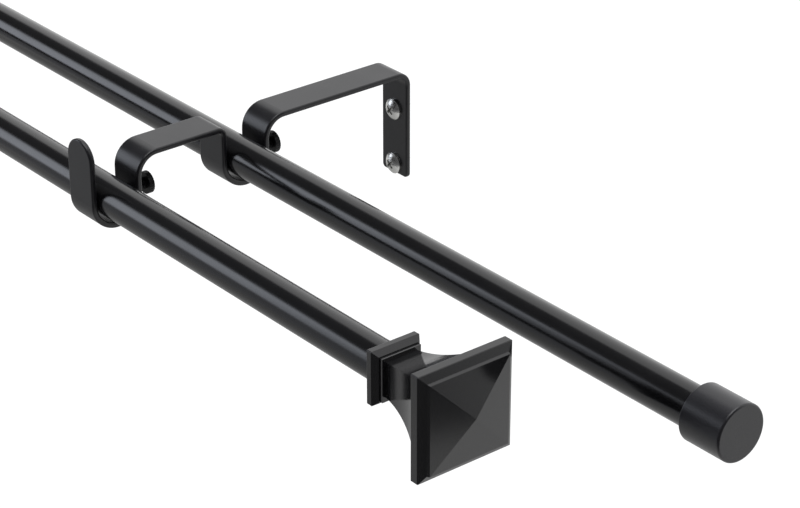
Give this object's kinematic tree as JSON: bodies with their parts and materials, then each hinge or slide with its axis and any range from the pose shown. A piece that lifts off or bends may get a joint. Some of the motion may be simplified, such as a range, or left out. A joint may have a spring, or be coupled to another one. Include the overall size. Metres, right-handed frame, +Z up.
{
  "type": "extendable double curtain rod",
  "caption": "Black double curtain rod that telescopes, on bent strip wall brackets with thumb screws, with square pyramid finials in front and round caps behind.",
  "frame": {"origin": "on the wall plane, at the centre of the four wall screws of the two brackets", "axes": "+X along the rods towards their fixed right end, +Y into the wall, +Z up"},
  "size_m": [0.9304, 0.1799, 0.0619],
  "materials": {
    "rod_paint": "satin black powder coat on steel tube",
    "bracket_paint": "satin black powder coat on steel strip",
    "finial_resin": "satin black moulded resin",
    "cap_plastic": "fine matt black moulded plastic",
    "fitting_plastic": "plain black moulded plastic",
    "screw_black": "black oxide, knurled",
    "screw_zinc": "bright zinc plate",
    "stud_zinc": "zinc plated steel"
  },
  "bodies": {
    "root": {"front_outer_tube": "rod_paint", "back_outer_tube": "rod_paint", "front_mouth_ring": "fitting_plastic", "back_mouth_ring": "fitting_plastic", "right_tube_plug": "fitting_plastic", "right_finial": "finial_resin", "right_finial_stud": "stud_zinc", "right_end_cap": "cap_plastic", "right_bracket": "bracket_paint", "left_bracket": "bracket_paint", "right_upper_wall_screw": "screw_zinc", "right_lower_wall_screw": "screw_zinc", "left_upper_wall_screw": "screw_zinc", "left_lower_wall_screw": "screw_zinc"},
    "front_inner_rod": {"front_inner_tube": "rod_paint", "front_glide_plug": "fitting_plastic", "left_tube_plug": "fitting_plastic", "left_finial": "finial_resin", "left_finial_stud": "stud_zinc", "left_finial_sleeve": "fitting_plastic"},
    "back_inner_rod": {"back_inner_tube": "rod_paint", "back_glide_plug": "fitting_plastic", "left_end_cap": "cap_plastic", "left_cap_sleeve": "fitting_plastic"},
    "right_front_thumb_screw": {"right_front_thumb_screw": "screw_black"},
    "right_back_thumb_screw": {"right_back_thumb_screw": "screw_black"},
    "left_front_thumb_screw": {"left_front_thumb_screw": "screw_black"},
    "left_back_thumb_screw": {"left_back_thumb_screw": "screw_black"}
  },
  "joints": [
    {"name": "front_extension", "type": "slide", "parent": "root", "child": "front_inner_rod", "axis": [-1, 0, 0], "range_m": [0, 0.508]},
    {"name": "back_extension", "type": "slide", "parent": "root", "child": "back_inner_rod", "axis": [-1, 0, 0], "range_m": [-0.1931, 0.3149]},
    {"name": "right_front_thumb_turn", "type": "hinge", "parent": "root", "child": "right_front_thumb_screw", "pos_m": [0.1726, -0.1324, 0.0167], "axis": [0, 1, 0], "range_deg": [0, 1080]},
    {"name": "right_back_thumb_turn", "type": "hinge", "parent": "root", "child": "right_back_thumb_screw", "pos_m": [0.1726, -0.0689, 0.0163], "axis": [0, 1, 0], "range_deg": [0, 1080]},
    {"name": "left_front_thumb_turn", "type": "hinge", "parent": "root", "child": "left_front_thumb_screw", "pos_m": [-0.1726, -0.1324, 0.0167], "axis": [0, 1, 0], "range_deg": [0, 1080]},
    {"name": "left_back_thumb_turn", "type": "hinge", "parent": "root", "child": "left_back_thumb_screw", "pos_m": [-0.1726, -0.0689, 0.0163], "axis": [0, 1, 0], "range_deg": [0, 1080]}
  ]
}
